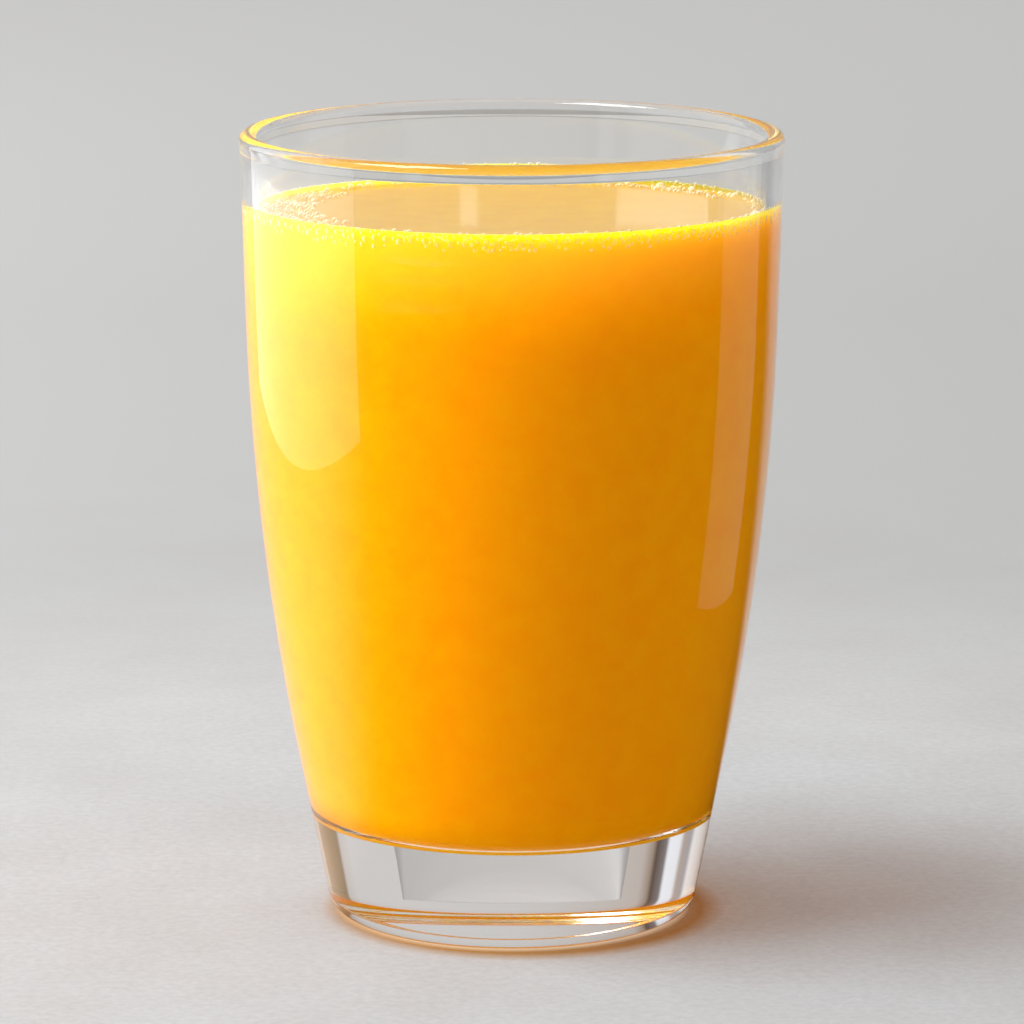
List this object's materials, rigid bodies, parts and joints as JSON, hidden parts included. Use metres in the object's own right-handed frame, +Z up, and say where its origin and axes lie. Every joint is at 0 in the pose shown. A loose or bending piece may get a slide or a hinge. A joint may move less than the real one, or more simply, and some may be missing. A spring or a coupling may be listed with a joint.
{
  "type": "glass of orange juice",
  "caption": "Clear thick-based tumbler with flared, softly curved walls and a rounded rim, filled with orange juice to just below the rim, with fine bubbles round the edge of the surface.",
  "frame": {"origin": "centre of the foot, on the surface that the tumbler stands on", "axes": "+Z up along the axis of the tumbler, through the middle of the rim"},
  "size_m": [0.082, 0.082, 0.12],
  "materials": {
    "clear_glass": "clear, fire polished",
    "juice": "cloudy liquid",
    "foam": "fine bubbles"
  },
  "bodies": {
    "root": {"glass": "clear_glass", "orange_juice": "juice", "foam_ring": "foam"}
  },
  "joints": []
}
